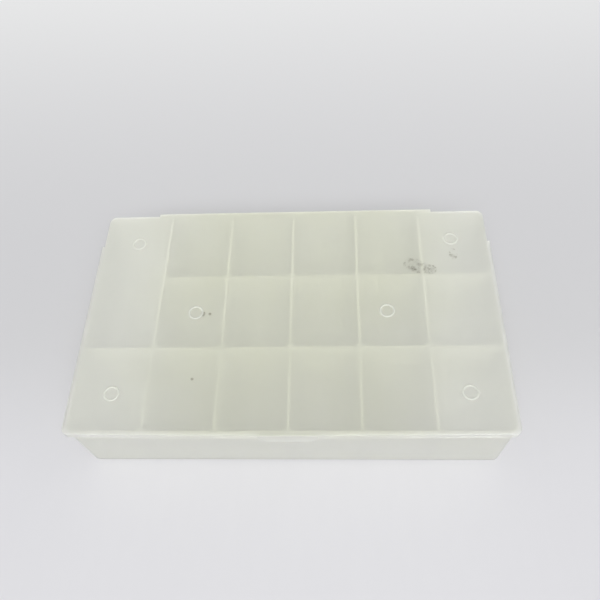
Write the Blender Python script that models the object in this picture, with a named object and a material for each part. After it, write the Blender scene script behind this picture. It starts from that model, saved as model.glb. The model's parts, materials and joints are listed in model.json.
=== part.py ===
"""Parts sorting tray: a frosted box with upright dividers, a hinged lid and a front latch.

Metres, +Z up. The origin is the middle of the tray's underside, +X runs along the
long side and the latch faces -Y. The lid is shut.
"""

import math

import bmesh
import bpy
import numpy as np
from mathutils import Matrix, Vector

# Tray
TRAY_WIDTH = 0.2026
TRAY_DEPTH = 0.1232
TRAY_HEIGHT = 0.0402
TRAY_WALL = 0.001
FLOOR_THICKNESS = 0.0015
TRAY_CORNER_RADIUS = 0.0035
BASE_EDGE_RADIUS = 0.002

# Dividers and the rib slots that hold them
COLUMN_COUNT = 6
MIDDLE_ROW_DEPTH = 0.0411
ROW_SHIFT = 0.00165
DIVIDER_THICKNESS = 0.0012
PARTITION_THICKNESS = 0.0012
SLOT_RIB_WIDTH = 0.001
SLOT_RIB_DEPTH = 0.0012
SLOT_CLEARANCE = 0.0003
PLATE_SEAT_GAP = 0.0003
PLATE_TOP_DROP = 0.0004
COLUMN_LEFT_OPEN = 1

# Lid
LID_THICKNESS = 0.0015
LID_SEAT_GAP = 0.0003
LID_CORNER_RADIUS = 0.003
LID_FRONT_BOW = 0.0005
SKIRT_WALL = 0.0009
SKIRT_HEIGHT = 0.0036
SKIRT_SIDE_CLEARANCE = 0.0003
SKIRT_FRONT_CLEARANCE = 0.0003
SKIRT_BACK_STOP = 0.020

# Ring marks moulded on the lid
MARK_RADIUS = 0.0039
MARK_WALL = 0.0005
MARK_HEIGHT = 0.0003
MARK_ROOT = 0.0003
MARK_SIDE_INSET = 0.0199
MARK_END_INSET = 0.0198
MIDDLE_MARK_SPACING = 0.0948

# Hinge
HINGE_WIDTH = 0.148
HINGE_FLANGE_DEPTH = 0.0016
HINGE_FLANGE_THICKNESS = 0.0012
HINGE_GAP = 0.0003
HINGE_FOLD_RADIUS = 0.0006
HINGE_WEB_THICKNESS = 0.0005

# Latch tab and the catch that it snaps under
LATCH_WIDTH = 0.027
LATCH_FOOT_WIDTH = 0.021
LATCH_DROP = 0.0036
LATCH_SLIT = 0.0004
LATCH_ROOT_GAP = 0.0003
LATCH_LIP = 0.0005
LATCH_LIP_HEIGHT = 0.0008
LATCH_LIP_TAPER = 0.0010
LATCH_BEAD_HEIGHT = 0.0018
LATCH_BEAD_RISE = 0.0016
CATCH_WIDTH = 0.014
CATCH_RIDGE = 0.00025
CATCH_PASS_GAP = 0.0003
CATCH_SNAP_GAP = 0.0003
CATCH_UNDERCUT = 0.0006
CATCH_RAMP = 0.0014

# How finely the round stretches are drawn
CORNER_STEPS = 8
BOW_STEPS = 8
BASE_EDGE_STEPS = 3
MARK_STEPS = 32
FOLD_STEPS = 10
CUT_MARGIN = 0.001

# Colours, linear, and how rough each moulding is
FROSTED_CLEAR = (0.66, 0.68, 0.58)
FROSTED_WALL = (0.70, 0.71, 0.63)
LID_ROUGHNESS = 0.35
HINGE_ROUGHNESS = 0.45
WALL_ROUGHNESS = 0.5

# Places that follow from the sizes above
INNER_X = TRAY_WIDTH / 2 - TRAY_WALL
INNER_Y = TRAY_DEPTH / 2 - TRAY_WALL
COLUMN_PITCH = 2 * INNER_X / COLUMN_COUNT
DIVIDER_PLACES = [-INNER_X + COLUMN_PITCH * number for number in range(1, COLUMN_COUNT)]
ROW_PLACES = [ROW_SHIFT - MIDDLE_ROW_DEPTH / 2, ROW_SHIFT + MIDDLE_ROW_DEPTH / 2]
DIVIDER_SLOT = DIVIDER_THICKNESS + 2 * SLOT_CLEARANCE
PARTITION_SLOT = PARTITION_THICKNESS + 2 * SLOT_CLEARANCE
PLATE_BASE = FLOOR_THICKNESS + PLATE_SEAT_GAP
PLATE_HEIGHT = TRAY_HEIGHT - PLATE_TOP_DROP - PLATE_BASE

LID_UNDERSIDE = TRAY_HEIGHT + LID_SEAT_GAP
LID_TOP = LID_UNDERSIDE + LID_THICKNESS
SKIRT_FOOT = LID_TOP - SKIRT_HEIGHT
LID_HALF_WIDTH = TRAY_WIDTH / 2 + SKIRT_SIDE_CLEARANCE + SKIRT_WALL
LID_FRONT = -TRAY_DEPTH / 2 - SKIRT_FRONT_CLEARANCE - SKIRT_WALL
LID_BACK = TRAY_DEPTH / 2
SKIRT_BACK = LID_BACK - SKIRT_BACK_STOP

FLANGE_EDGE = LID_BACK + HINGE_FLANGE_DEPTH
HINGE_AXIS = Vector((0, FLANGE_EDGE + HINGE_GAP, TRAY_HEIGHT + LID_SEAT_GAP / 2))

LATCH_FOOT = SKIRT_FOOT - LATCH_DROP
LATCH_FRONT = LID_FRONT - LID_FRONT_BOW
LATCH_INNER = LATCH_FRONT + SKIRT_WALL
LATCH_BEAD = SKIRT_FRONT_CLEARANCE + LID_FRONT_BOW - CATCH_RIDGE - CATCH_PASS_GAP
LATCH_AXIS = Vector((0, LATCH_INNER, LID_TOP - LID_THICKNESS / 2))
CATCH_FOOT = LATCH_FOOT + LATCH_BEAD_RISE + LATCH_BEAD_HEIGHT / 2 + CATCH_SNAP_GAP


def finish(name, colour, roughness):
    """A moulded plastic finish."""
    material = bpy.data.materials.new(name)
    material.use_nodes = True
    shader = material.node_tree.nodes["Principled BSDF"]
    shader.inputs["Base Color"].default_value = (*colour, 1)
    shader.inputs["Roughness"].default_value = roughness
    shader.inputs["Metallic"].default_value = 0
    return material


def arc(centre, radius, start, end, steps):
    """Points round a centre in a plane, from one angle to another in degrees."""
    angles = [math.radians(start + (end - start) * step / steps) for step in range(steps + 1)]
    return [(centre[0] + radius * math.cos(a), centre[1] + radius * math.sin(a)) for a in angles]


def corner(half_x, half_y, radius, quarter):
    """Points of one rounded corner of a centred rectangle, anticlockwise from the front left."""
    across = (-1, 1, 1, -1)[quarter] * (half_x - radius)
    along = (-1, -1, 1, 1)[quarter] * (half_y - radius)
    start = 180 + 90 * quarter
    return arc((across, along), radius, start, start + 90, CORNER_STEPS)


def rounded_rectangle(half_x, half_y, radius):
    """Anticlockwise outline of a centred rectangle with round corners."""
    return [point for quarter in range(4) for point in corner(half_x, half_y, radius, quarter)]


def rib_steps(places, slot):
    """Distance along a wall and height off it, over a pair of slot ribs at each place."""
    steps = []
    for place in places:
        for low in (place - slot / 2 - SLOT_RIB_WIDTH, place + slot / 2):
            high = low + SLOT_RIB_WIDTH
            steps += [(low, 0), (low, SLOT_RIB_DEPTH), (high, SLOT_RIB_DEPTH), (high, 0)]
    return steps


def raised(outline, height):
    """A plan outline as points at one height."""
    return [(x, y, height) for x, y in outline]


def finished_mesh(name, shape):
    """A mesh from a closed shape, with its faces pointing out."""
    bmesh.ops.recalc_face_normals(shape, faces=shape.faces)
    mesh = bpy.data.meshes.new(name)
    shape.to_mesh(mesh)
    shape.free()
    return mesh


def loft(name, rings):
    """A closed mesh through rings of points, flat at both ends."""
    shape = bmesh.new()
    loops = [[shape.verts.new(point) for point in ring] for ring in rings]
    for lower, upper in zip(loops, loops[1:]):
        for here, _ in enumerate(lower):
            after = (here + 1) % len(lower)
            shape.faces.new((lower[here], lower[after], upper[after], upper[here]))
    shape.faces.new(loops[0][::-1])
    shape.faces.new(loops[-1])
    return finished_mesh(name, shape)


def prism(name, outline, low, high):
    """A plan outline carried straight up from one height to another."""
    return loft(name, [raised(outline, low), raised(outline, high)])


def bar(name, profile, width):
    """A side profile of (y, z) points carried along X, centred."""
    return loft(name, [[(x, y, z) for y, z in profile] for x in (-width / 2, width / 2)])


def frame_point(name, place, parent=None):
    """An empty that pieces hang on, at a world place."""
    empty = bpy.data.objects.new(name, None)
    empty.location = place if parent is None else place - parent.location
    empty.parent = parent
    bpy.context.collection.objects.link(empty)
    return empty


def piece(name, mesh, material, parent, place=(0, 0, 0)):
    """An object that holds one sub-part, at a place on its parent."""
    thing = bpy.data.objects.new(name, mesh)
    mesh.materials.append(material)
    thing.location = place
    thing.parent = parent
    bpy.context.collection.objects.link(thing)
    return thing


def shaped_by(thing, operation, name, mesh):
    """Join or cut a piece with a helper shape that isn't part of the object."""
    helper = bpy.data.objects.new(name, mesh)
    helper.hide_render = True
    helper.display_type = "WIRE"
    helper.parent = thing
    bpy.context.collection.objects.link(helper)
    modifier = thing.modifiers.new(name, "BOOLEAN")
    modifier.operation = operation
    modifier.object = helper


def cavity_outline():
    """The tray's inside in plan, stepped round the slot ribs on its four walls."""
    radius = TRAY_CORNER_RADIUS - TRAY_WALL
    across = rib_steps(DIVIDER_PLACES, DIVIDER_SLOT)
    along = rib_steps(ROW_PLACES, PARTITION_SLOT)
    front = [(place, -INNER_Y + height) for place, height in across]
    right = [(INNER_X - height, place) for place, height in along]
    back = [(place, INNER_Y - height) for place, height in reversed(across)]
    left = [(-INNER_X + height, place) for place, height in reversed(along)]
    outline = []
    for quarter, wall in enumerate((front, right, back, left)):
        outline += corner(INNER_X, INNER_Y, radius, quarter) + wall
    return outline


def make_tray_shell(parent):
    """Floor and outer walls in one moulding, with slot ribs, hinge flange and latch catch."""
    rings = []
    for step in range(BASE_EDGE_STEPS + 1):
        angle = math.radians(90 * step / BASE_EDGE_STEPS)
        inset = BASE_EDGE_RADIUS * (1 - math.sin(angle))
        height = BASE_EDGE_RADIUS * (1 - math.cos(angle))
        outline = rounded_rectangle(
            TRAY_WIDTH / 2 - inset, TRAY_DEPTH / 2 - inset, TRAY_CORNER_RADIUS - inset
        )
        rings.append(raised(outline, height))
    rings.append(raised(outline, TRAY_HEIGHT))
    plastic = finish("tray_plastic", FROSTED_WALL, WALL_ROUGHNESS)
    shell = piece("tray_shell", loft("tray_shell", rings), plastic, parent)

    wall_middle = TRAY_DEPTH / 2 - TRAY_WALL / 2
    flange_foot = TRAY_HEIGHT - HINGE_FLANGE_THICKNESS
    flange = [
        (wall_middle, flange_foot),
        (FLANGE_EDGE, flange_foot),
        (FLANGE_EDGE, TRAY_HEIGHT),
        (wall_middle, TRAY_HEIGHT),
    ]
    shaped_by(shell, "UNION", "hinge_flange_shape", bar("hinge_flange_shape", flange, HINGE_WIDTH))

    catch_peak = CATCH_FOOT + CATCH_UNDERCUT
    catch = [
        (-wall_middle, CATCH_FOOT),
        (-TRAY_DEPTH / 2, CATCH_FOOT),
        (-TRAY_DEPTH / 2 - CATCH_RIDGE, catch_peak),
        (-TRAY_DEPTH / 2, catch_peak + CATCH_RAMP),
        (-wall_middle, catch_peak + CATCH_RAMP),
    ]
    shaped_by(shell, "UNION", "catch_shape", bar("catch_shape", catch, CATCH_WIDTH))

    hollow = prism("cavity_shape", cavity_outline(), FLOOR_THICKNESS, TRAY_HEIGHT + CUT_MARGIN)
    shaped_by(shell, "DIFFERENCE", "cavity_shape", hollow)


def make_column_dividers(parent):
    """Upright plates from front to back, ribbed on both faces for the partitions."""
    plastic = finish("divider_plastic", FROSTED_WALL, WALL_ROUGHNESS)
    half = DIVIDER_THICKNESS / 2
    end = INNER_Y - SLOT_CLEARANCE
    steps = rib_steps(ROW_PLACES, PARTITION_SLOT)
    right = [(half, -end)] + [(half + height, place) for place, height in steps] + [(half, end)]
    outline = right + [(-x, y) for x, y in reversed(right)]
    for number, place in enumerate(DIVIDER_PLACES, start=1):
        name = f"column_divider_{number}"
        piece(name, prism(name, outline, 0, PLATE_HEIGHT), plastic, parent, (place, 0, PLATE_BASE))


def make_partitions(parent):
    """Short cross plates, one to each column, but for the one left out of the back row."""
    plastic = finish("partition_plastic", FROSTED_WALL, WALL_ROUGHNESS)
    half = PARTITION_THICKNESS / 2
    edges = [-INNER_X - DIVIDER_THICKNESS / 2] + DIVIDER_PLACES + [INNER_X + DIVIDER_THICKNESS / 2]
    reach = DIVIDER_THICKNESS / 2 + SLOT_CLEARANCE
    for row, place in zip(("front", "back"), ROW_PLACES):
        for column, (left, right) in enumerate(zip(edges, edges[1:]), start=1):
            if row == "back" and column == COLUMN_LEFT_OPEN:
                continue
            name = f"{row}_partition_{column}"
            end = (right - left) / 2 - reach
            outline = [(-end, -half), (end, -half), (end, half), (-end, half)]
            middle = ((left + right) / 2, place, PLATE_BASE)
            piece(name, prism(name, outline, 0, PLATE_HEIGHT), plastic, parent, middle)


def lid_right_half():
    """The lid's right half in plan: the skirt's outer line, its inner line, then the rest."""
    slit = LATCH_WIDTH / 2 + LATCH_SLIT
    middle = (LID_HALF_WIDTH - LID_CORNER_RADIUS, LID_FRONT + LID_CORNER_RADIUS)
    inner_radius = LID_CORNER_RADIUS - SKIRT_WALL
    front = []
    for step in range(BOW_STEPS):
        x = slit + (middle[0] - slit) * step / BOW_STEPS
        front.append((x, LID_FRONT - LID_FRONT_BOW * (1 - (x / middle[0]) ** 2)))
    outer = front + arc(middle, LID_CORNER_RADIUS, 270, 360, CORNER_STEPS)
    outer.append((LID_HALF_WIDTH, SKIRT_BACK))
    inner = [(x, y + SKIRT_WALL) for x, y in front] + arc(middle, inner_radius, 270, 360, CORNER_STEPS)
    inner.append((LID_HALF_WIDTH - SKIRT_WALL, SKIRT_BACK))
    rest = [(TRAY_WIDTH / 2, SKIRT_BACK)]
    rest += corner(TRAY_WIDTH / 2, LID_BACK, TRAY_CORNER_RADIUS, 2)
    rest += [(HINGE_WIDTH / 2, LID_BACK), (HINGE_WIDTH / 2, FLANGE_EDGE)]
    return outer, inner, rest


def lid_shape():
    """The plate, with a skirt hung from its front and sides and a notch for the latch tab."""
    outer, inner, rest = lid_right_half()
    notch = (inner[0][0], inner[0][1] + LATCH_ROOT_GAP)
    shape = bmesh.new()
    made = {}

    def point(flat, height):
        key = (*flat, height)
        if key not in made:
            made[key] = shape.verts.new(key)
        return made[key]

    def face(outline, height):
        shape.faces.new([point(flat, height) for flat in outline])

    def walls(outline, low, high):
        for start, end in zip(outline, outline[1:] + outline[:1]):
            corners = ((start, low), (end, low), (end, high), (start, high))
            shape.faces.new([point(*place) for place in corners])

    def both_sides(right):
        return right + [(-x, y) for x, y in reversed(right)]

    edge = both_sides([notch, inner[0]] + outer + [inner[-1]] + rest)
    face(edge, LID_TOP)
    walls(edge, LID_UNDERSIDE, LID_TOP)
    face(both_sides([notch] + inner + rest), LID_UNDERSIDE)
    for side in (1, -1):
        skirt = [(side * x, y) for x, y in outer + inner[::-1]]
        face(skirt, SKIRT_FOOT)
        walls(skirt, SKIRT_FOOT, LID_UNDERSIDE)
    return finished_mesh("lid", shape)


def mark_places():
    """Where the ring marks stand: one near each corner and two across the middle."""
    far = LID_HALF_WIDTH - MARK_SIDE_INSET
    front = LID_FRONT + MARK_END_INSET
    back = FLANGE_EDGE - MARK_END_INSET
    near = MIDDLE_MARK_SPACING / 2
    right = [(far, front), (far, back), (near, (front + back) / 2)]
    return right + [(-x, y) for x, y in right]


def marks_shape():
    """Low rings that stand on the lid's top and are rooted in it."""
    shape = bmesh.new()
    low = LID_TOP - MARK_ROOT
    high = LID_TOP + MARK_HEIGHT
    bore = MARK_RADIUS - MARK_WALL
    section = [(MARK_RADIUS, low), (MARK_RADIUS, high), (bore, high), (bore, low)]
    for x, y in mark_places():
        turns = []
        for step in range(MARK_STEPS):
            angle = math.tau * step / MARK_STEPS
            turn = [(x + r * math.cos(angle), y + r * math.sin(angle), z) for r, z in section]
            turns.append([shape.verts.new(place) for place in turn])
        for here, after in zip(turns, turns[1:] + turns[:1]):
            for first, _ in enumerate(section):
                second = (first + 1) % len(section)
                shape.faces.new((here[first], after[first], after[second], here[second]))
    return finished_mesh("marks_shape", shape)


def make_lid(parent):
    """The lid, with its origin on the hinge's axis."""
    to_axis = Matrix.Translation(-HINGE_AXIS)
    mesh = lid_shape()
    mesh.transform(to_axis)
    lid = piece("lid", mesh, finish("lid_plastic", FROSTED_CLEAR, LID_ROUGHNESS), parent)
    marks = marks_shape()
    marks.transform(to_axis)
    shaped_by(lid, "UNION", "marks_shape", marks)


def make_hinge_web(parent):
    """The thin folded strip that joins the lid's flange to the tray's, with its origin on the axis."""
    half = HINGE_WEB_THICKNESS / 2
    outside = arc((0, 0), HINGE_FOLD_RADIUS + half, -90, 90, FOLD_STEPS)
    inside = arc((0, 0), HINGE_FOLD_RADIUS - half, 90, -90, FOLD_STEPS)
    web = bar("hinge_web", outside + inside, HINGE_WIDTH)
    piece("hinge_web", web, finish("hinge_plastic", FROSTED_CLEAR, HINGE_ROUGHNESS), parent)


def make_latch_tab(parent):
    """The springy tab in the lid's front skirt: a tapered foot, a finger lip and a snap bead."""
    bead_middle = LATCH_FOOT + LATCH_BEAD_RISE
    bead_low = bead_middle - LATCH_BEAD_HEIGHT / 2
    bead_high = bead_middle + LATCH_BEAD_HEIGHT / 2
    lip_top = LATCH_FOOT + LATCH_LIP_HEIGHT
    lip_end = lip_top + LATCH_LIP_TAPER
    heights = sorted({LATCH_FOOT, bead_low, bead_middle, bead_high, lip_top, lip_end, SKIRT_FOOT, LID_TOP})
    rings = []
    for height in heights:
        half = np.interp(height, (LATCH_FOOT, SKIRT_FOOT), (LATCH_FOOT_WIDTH / 2, LATCH_WIDTH / 2))
        lip = np.interp(height, (lip_top, lip_end), (LATCH_LIP, 0))
        bead = np.interp(height, (bead_low, bead_middle, bead_high), (0, LATCH_BEAD, 0))
        front = LATCH_FRONT - lip
        back = LATCH_INNER + bead
        rings.append(raised([(-half, front), (half, front), (half, back), (-half, back)], height))
    mesh = loft("latch_tab", rings)
    mesh.transform(Matrix.Translation(-LATCH_AXIS))
    piece("latch_tab", mesh, finish("latch_plastic", FROSTED_CLEAR, LID_ROUGHNESS), parent)


def main():
    for thing in list(bpy.data.objects):
        bpy.data.objects.remove(thing, do_unlink=True)
    tray_frame = frame_point("tray_frame", Vector((0, 0, 0)))
    lid_axis = frame_point("lid_hinge_axis", HINGE_AXIS, tray_frame)
    latch_axis = frame_point("latch_flex_axis", LATCH_AXIS, lid_axis)
    make_tray_shell(tray_frame)
    make_column_dividers(tray_frame)
    make_partitions(tray_frame)
    make_lid(lid_axis)
    make_hinge_web(lid_axis)
    make_latch_tab(latch_axis)


main()
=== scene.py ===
"""Frosted parts sorting tray: the looks of its tray, dividers, lid, hinge and latch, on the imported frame."""

import json
import math

import bmesh
import bpy
from bpy.props import FloatProperty, FloatVectorProperty, PointerProperty
from mathutils import Matrix, Vector


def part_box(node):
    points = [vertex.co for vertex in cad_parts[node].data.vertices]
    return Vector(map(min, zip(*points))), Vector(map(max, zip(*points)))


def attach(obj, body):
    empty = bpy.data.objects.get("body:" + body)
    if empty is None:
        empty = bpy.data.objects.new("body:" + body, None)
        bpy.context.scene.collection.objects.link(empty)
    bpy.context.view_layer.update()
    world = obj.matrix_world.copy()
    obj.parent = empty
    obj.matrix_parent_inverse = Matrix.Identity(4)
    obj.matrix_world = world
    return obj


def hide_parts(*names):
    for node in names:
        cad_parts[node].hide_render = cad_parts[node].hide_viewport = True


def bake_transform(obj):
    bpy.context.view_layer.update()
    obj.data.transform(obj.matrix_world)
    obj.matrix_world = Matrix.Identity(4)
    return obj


bl_info = {
    "name": "Parts Sorting Tray",
    "version": (1, 0, 0),
    "blender": (4, 5, 0),
    "location": "3D View > Sidebar > Sorting Tray",
    "description": "Models a frosted sorting box with dividers, a hinged lid and a snap latch",
    "category": "Object",
}

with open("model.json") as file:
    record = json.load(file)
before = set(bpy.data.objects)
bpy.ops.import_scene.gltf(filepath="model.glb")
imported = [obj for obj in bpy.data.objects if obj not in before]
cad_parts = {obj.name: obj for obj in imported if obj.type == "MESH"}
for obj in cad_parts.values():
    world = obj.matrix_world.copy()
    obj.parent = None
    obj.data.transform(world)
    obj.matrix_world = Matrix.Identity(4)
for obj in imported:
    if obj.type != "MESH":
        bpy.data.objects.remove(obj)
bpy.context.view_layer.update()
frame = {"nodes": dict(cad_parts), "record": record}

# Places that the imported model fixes
TRAY_LOW, TRAY_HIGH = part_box("tray_shell")
LID_LOW, LID_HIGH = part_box("lid")
WEB_LOW, WEB_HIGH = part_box("hinge_web")
TAB_LOW, TAB_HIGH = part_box("latch_tab")
DIVIDERS = sorted(name for name in frame["nodes"] if name.startswith("column_divider"))
PARTITIONS = sorted(name for name in frame["nodes"] if "_partition_" in name)
HINGE_AXIS = Vector(frame["record"]["behaviour"]["joints"][0]["pos_m"])

# The axes by number
X, Y, Z = 0, 1, 2

# How near two places are when they count as one, and how squarely a flat face looks along an axis
SAME_PLACE = 2e-6
SQUARE_ON = 0.999

# How finely round shapes are stepped
TRAY_CORNER_STEPS = 10
BASE_STEPS = 5
FILLET_STEPS = 3
LID_CORNER_STEPS = 8
BOW_STEPS = 8
RING_STEPS = 56
RING_TUBE_STEPS = 14
FOLD_STEPS = 14
TAB_BENDS = 6
SOFT_STEPS = 3

# How many corner radii deep the strip is that bows the lid's front
BOW_STRIP = 3

# Edges that turn more than the first are rounded, and faces that turn less than the second shade smooth
SHARP_ANGLE = math.radians(40)
SMOOTH_ANGLE = math.radians(36)

# How plain plastic bends light, and how deep its mould grain is
PLASTIC_IOR = 1.49
GRAIN_DEPTH = 0.0002

# Where along Y dust and rubbed edges change over from their front values to their back values
FRONT_END = -0.03
BACK_START = 0.03

# How far below the top of a piece its painted rim tint starts, and where it is full
RIM_START = 0.0005
RIM_FULL = 0.0001

# How far the dust and painted shade keep from the tray's outside, how far along X the floor's painted shade
# reaches, so that the outer columns stay lighter, and how softly it ends
DUST_AND_SHADE_INSET = Vector((0.0005, 0.001, 0))
SHADE_REACH = 0.075
SHADE_SOFTNESS = 0.02

# How far above the latch tab its painted shade would be gone, so that the tab is nearly even
SHADE_ABOVE = 0.012

# What a node group's tints are until a plastic gives its own
PALE = (0.9, 0.9, 0.9, 1)

# Old marks on the lid: middle and reach along X and Y, speck scale, cover, and how filled the core is
LID_MARKS = (
    ((0.0618, 0.0274), (0.0054, 0.0044), 520.0, 0.55, 0.22),
    ((0.0660, 0.0252), (0.0060, 0.0038), 560.0, 0.54, 0.40),
    ((0.0702, 0.0242), (0.0040, 0.0032), 600.0, 0.58, 0.35),
    ((0.0830, 0.0335), (0.0024, 0.0040), 360.0, 0.52, 0.50),
    ((-0.0437, -0.0007), (0.0013, 0.0015), 300.0, 0.90, 1.0),
    ((-0.0403, -0.0008), (0.0009, 0.0009), 300.0, 0.90, 1.0),
    ((-0.0454, -0.0359), (0.0008, 0.0008), 300.0, 0.90, 1.0),
)
MARK_DEPTH = 0.004

# The floor's width, how dull its clouds are, and where along Y it turns to its painted shadow and then to its
# paler painted far light
FLOOR_WIDTH = 8
FLOOR_CLOUDS = 0.985
SHADE_BAND = (-0.08, 0.02)
FAR_LIGHT_BAND = (0.04, 0.50)

# The softbox's width and height, and where its middle hangs
SOFTBOX_SIZE = (4.4, 3.0)
SOFTBOX_PLACE = Vector((0.40, -2.70, 4.30))

# The photograph's viewpoint: lens and sensor in millimetres, nearest place seen, turns in degrees, place
LENS = 37.2
SENSOR = 36
NEAREST_SEEN = 0.01
CAMERA_TURNS = {"swing": (5.945, "Z"), "tilt": (31.516, "X"), "roll": (-5.745, "Z")}
CAMERA_PLACE = (0.02123, -0.15434, 0.30612)


def middle_of(node):
    """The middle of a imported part's box."""
    low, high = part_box(node)
    return (low + high) / 2


# Where the two rows of partitions stand
ROWS = sorted({round(middle_of(name).y, 6) for name in PARTITIONS})


def length(name, description, default):
    """A size that a user may change, in metres."""
    return FloatProperty(
        name=name, description=description, default=default, min=0.0, unit="LENGTH", precision=5
    )


def share(name, description, default):
    """A part of the whole that a user may change, from none to all."""
    return FloatProperty(
        name=name, description=description, default=default, min=0.0, max=1.0, subtype="FACTOR"
    )


def colour(name, description, default):
    """A colour that a user may change."""
    return FloatVectorProperty(
        name=name, description=description, default=default, size=3, min=0.0, max=1.0, subtype="COLOR"
    )


class SortingTraySizes(bpy.types.PropertyGroup):
    """Sizes of the tray and of the plates that stand in it."""

    wall: length("Wall", "Thickness of the tray's outer walls", 0.001)
    floor: length("Floor", "Thickness of the tray's floor", 0.0015)
    corner_radius: length("Corner Radius", "Rounding of the tray's upright corners", 0.0035)
    base_radius: length("Base Radius", "Rounding between the walls and the underside", 0.002)
    floor_fillet: length("Floor Fillet", "Rounding between the walls and the floor inside", 0.0008)
    plate: length("Plate", "Thickness of a divider or partition", 0.0012)
    slot_clearance: length("Slot Clearance", "Room on each side of a plate in its slot", 0.0003)
    rib_width: length("Rib Width", "Width of a slot rib along the wall", 0.001)
    rib_depth: length("Rib Depth", "How far a slot rib stands off the wall", 0.0012)
    lead_in: length("Lead-in", "Chamfer on a plate's lower corners", 0.0009)
    soft_edge: length("Soft Edge", "Rounding of the moulded edges", 0.00022)


class SortingLidSizes(bpy.types.PropertyGroup):
    """Sizes of the lid, its hinge and its latch."""

    thickness: length("Thickness", "Thickness of the lid's plate", 0.0015)
    corner_radius: length("Corner Radius", "Rounding of the lid's front corners", 0.003)
    front_bow: length("Front Bow", "How far the front edge swells at its middle", 0.0005)
    skirt_wall: length("Skirt Wall", "Thickness of the skirt", 0.0009)
    skirt_back_stop: length("Skirt Stop", "How far in front of the back the side skirts end", 0.020)
    ring_radius: length("Ring Radius", "Outer radius of the moulded ring marks", 0.0039)
    ring_tube: length("Ring Tube", "Radius of a ring mark's round section", 0.0007)
    ring_side_inset: length("Ring Side Inset", "Ring middle from the lid's side", 0.0199)
    ring_end_inset: length("Ring End Inset", "Ring middle from the lid's front or back", 0.0198)
    ring_spacing: length("Ring Spacing", "Between the two rings across the middle", 0.0948)
    flange_depth: length("Flange Depth", "How far the hinge flanges stand off the back", 0.0016)
    flange_thickness: length("Flange Thickness", "Thickness of the tray's hinge flange", 0.0012)
    hinge_strip: length("Hinge Strip", "Thickness of the folded hinge strip", 0.0005)
    latch_foot_width: length("Latch Foot", "Width of the latch tab at its foot", 0.021)
    latch_slit: length("Latch Slit", "Slit on each side of the latch tab", 0.0004)
    latch_lip: length("Latch Lip", "How far the finger lip stands forward", 0.0005)
    latch_lip_height: length("Latch Lip Height", "Height of the finger lip", 0.0008)
    latch_bead_rise: length("Latch Bead Rise", "Snap bead's middle above the tab's foot", 0.0016)
    latch_bead_height: length("Latch Bead Height", "Height of the snap bead", 0.0018)
    snap_gap: length("Snap Gap", "Room between the snap bead and the catch above it", 0.0003)
    catch_width: length("Catch Width", "Width of the catch ridge on the tray", 0.014)
    catch_undercut: length("Catch Undercut", "Height of the catch ridge's lower face", 0.0006)
    catch_ramp: length("Catch Ramp", "Height of the catch ridge's upper slope", 0.0014)
    soft_edge: length("Soft Edge", "Rounding of the lid's edges", 0.0004)


class SortingFinish(bpy.types.PropertyGroup):
    """Colours and frosting of the plastic, and the tints of its painted light and shade."""

    lid_tint: colour("Lid Tint", "Lid where it is clearest", (0.91, 0.917, 0.835))
    lid_milk: colour("Lid Milk", "Lid where it is cloudiest", (0.92, 0.925, 0.86))
    # Lid Ends is painted light: the lid painted paler towards its ends, over the outer columns.
    lid_ends: colour("Lid Ends", "Lid where hands have rubbed its ends pale", (0.955, 0.958, 0.928))
    wall_tint: colour("Wall Tint", "Tray where it is clearest", (0.955, 0.963, 0.885))
    wall_milk: colour("Wall Milk", "Tray where it is cloudiest", (0.965, 0.97, 0.915))
    divider_tint: colour("Divider Tint", "Dividers where they are clearest", (0.90, 0.905, 0.81))
    divider_milk: colour("Divider Milk", "Dividers where they are cloudiest", (0.92, 0.925, 0.845))
    # The partitions' tints are painted shade: the same plastic as the dividers, painted darker.
    plate_tint: colour("Partition Tint", "Partitions where they are clearest", (0.775, 0.785, 0.675))
    plate_milk: colour("Partition Milk", "Partitions where they are cloudiest", (0.805, 0.812, 0.715))
    # Dust also carries painted shade: it darkens the tray's floor and walls and the plates.
    dust: colour("Dust", "Dust that has settled low in the tray", (0.54, 0.542, 0.43))
    # Rubbed is a painted highlight that whitens the tops of the ring marks.
    rubbed: colour("Rubbed", "Plastic rubbed pale on the ring marks", (0.915, 0.92, 0.87))
    # Fingers is painted shade that darkens the skirt and the latch tab towards their foot.
    fingers: colour("Fingers", "Grey that fingers left on the skirt and the latch", (0.58, 0.58, 0.56))
    # Edge and Back Edge are painted shade along the top edges, less deep on the dividers towards the back.
    edge: colour("Edge", "Top edges of the walls and plates, where light runs down", (0.50, 0.51, 0.42))
    back_edge: colour("Back Edge", "Top edges of the dividers towards the back", (0.78, 0.785, 0.70))
    grime: colour("Grime", "Old marks rubbed into the lid", (0.24, 0.22, 0.17))
    lid_clearness: share("Lid Clearness", "Light that goes through the lid", 0.68)
    latch_clearness: share("Latch Clearness", "Light that goes through the latch tab", 0.25)
    wall_clearness: share("Wall Clearness", "Light that goes through the walls", 0.46)
    plate_clearness: share("Plate Clearness", "Light that goes through the plates", 0.25)
    ring_clearness: share("Ring Clearness", "Light that goes through the ring marks", 0.45)


class SortingStudio(bpy.types.PropertyGroup):
    """The floor and the light."""

    floor_colour: colour("Floor", "Floor in front of the box", (0.72, 0.715, 0.735))
    # Floor Shade is a painted shadow beside and behind the box, and Floor Far is painted light far off.
    floor_shade: colour("Floor Shade", "Floor beside and behind the box", (0.635, 0.632, 0.642))
    floor_far: colour("Floor Far", "Floor far behind the box", (0.92, 0.92, 0.91))
    key_power: FloatProperty(
        name="Softbox", description="Power of the softbox", default=200.0, min=0.0, unit="POWER"
    )
    fill: FloatProperty(name="Fill", description="Strength of the light all round", default=0.47, min=0.0)


# Modelling by hand


def object_mode():
    """Leave edit mode and deselect everything."""
    if bpy.context.mode != "OBJECT":
        bpy.ops.object.mode_set(mode="OBJECT")
    bpy.ops.object.select_all(action="DESELECT")


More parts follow.
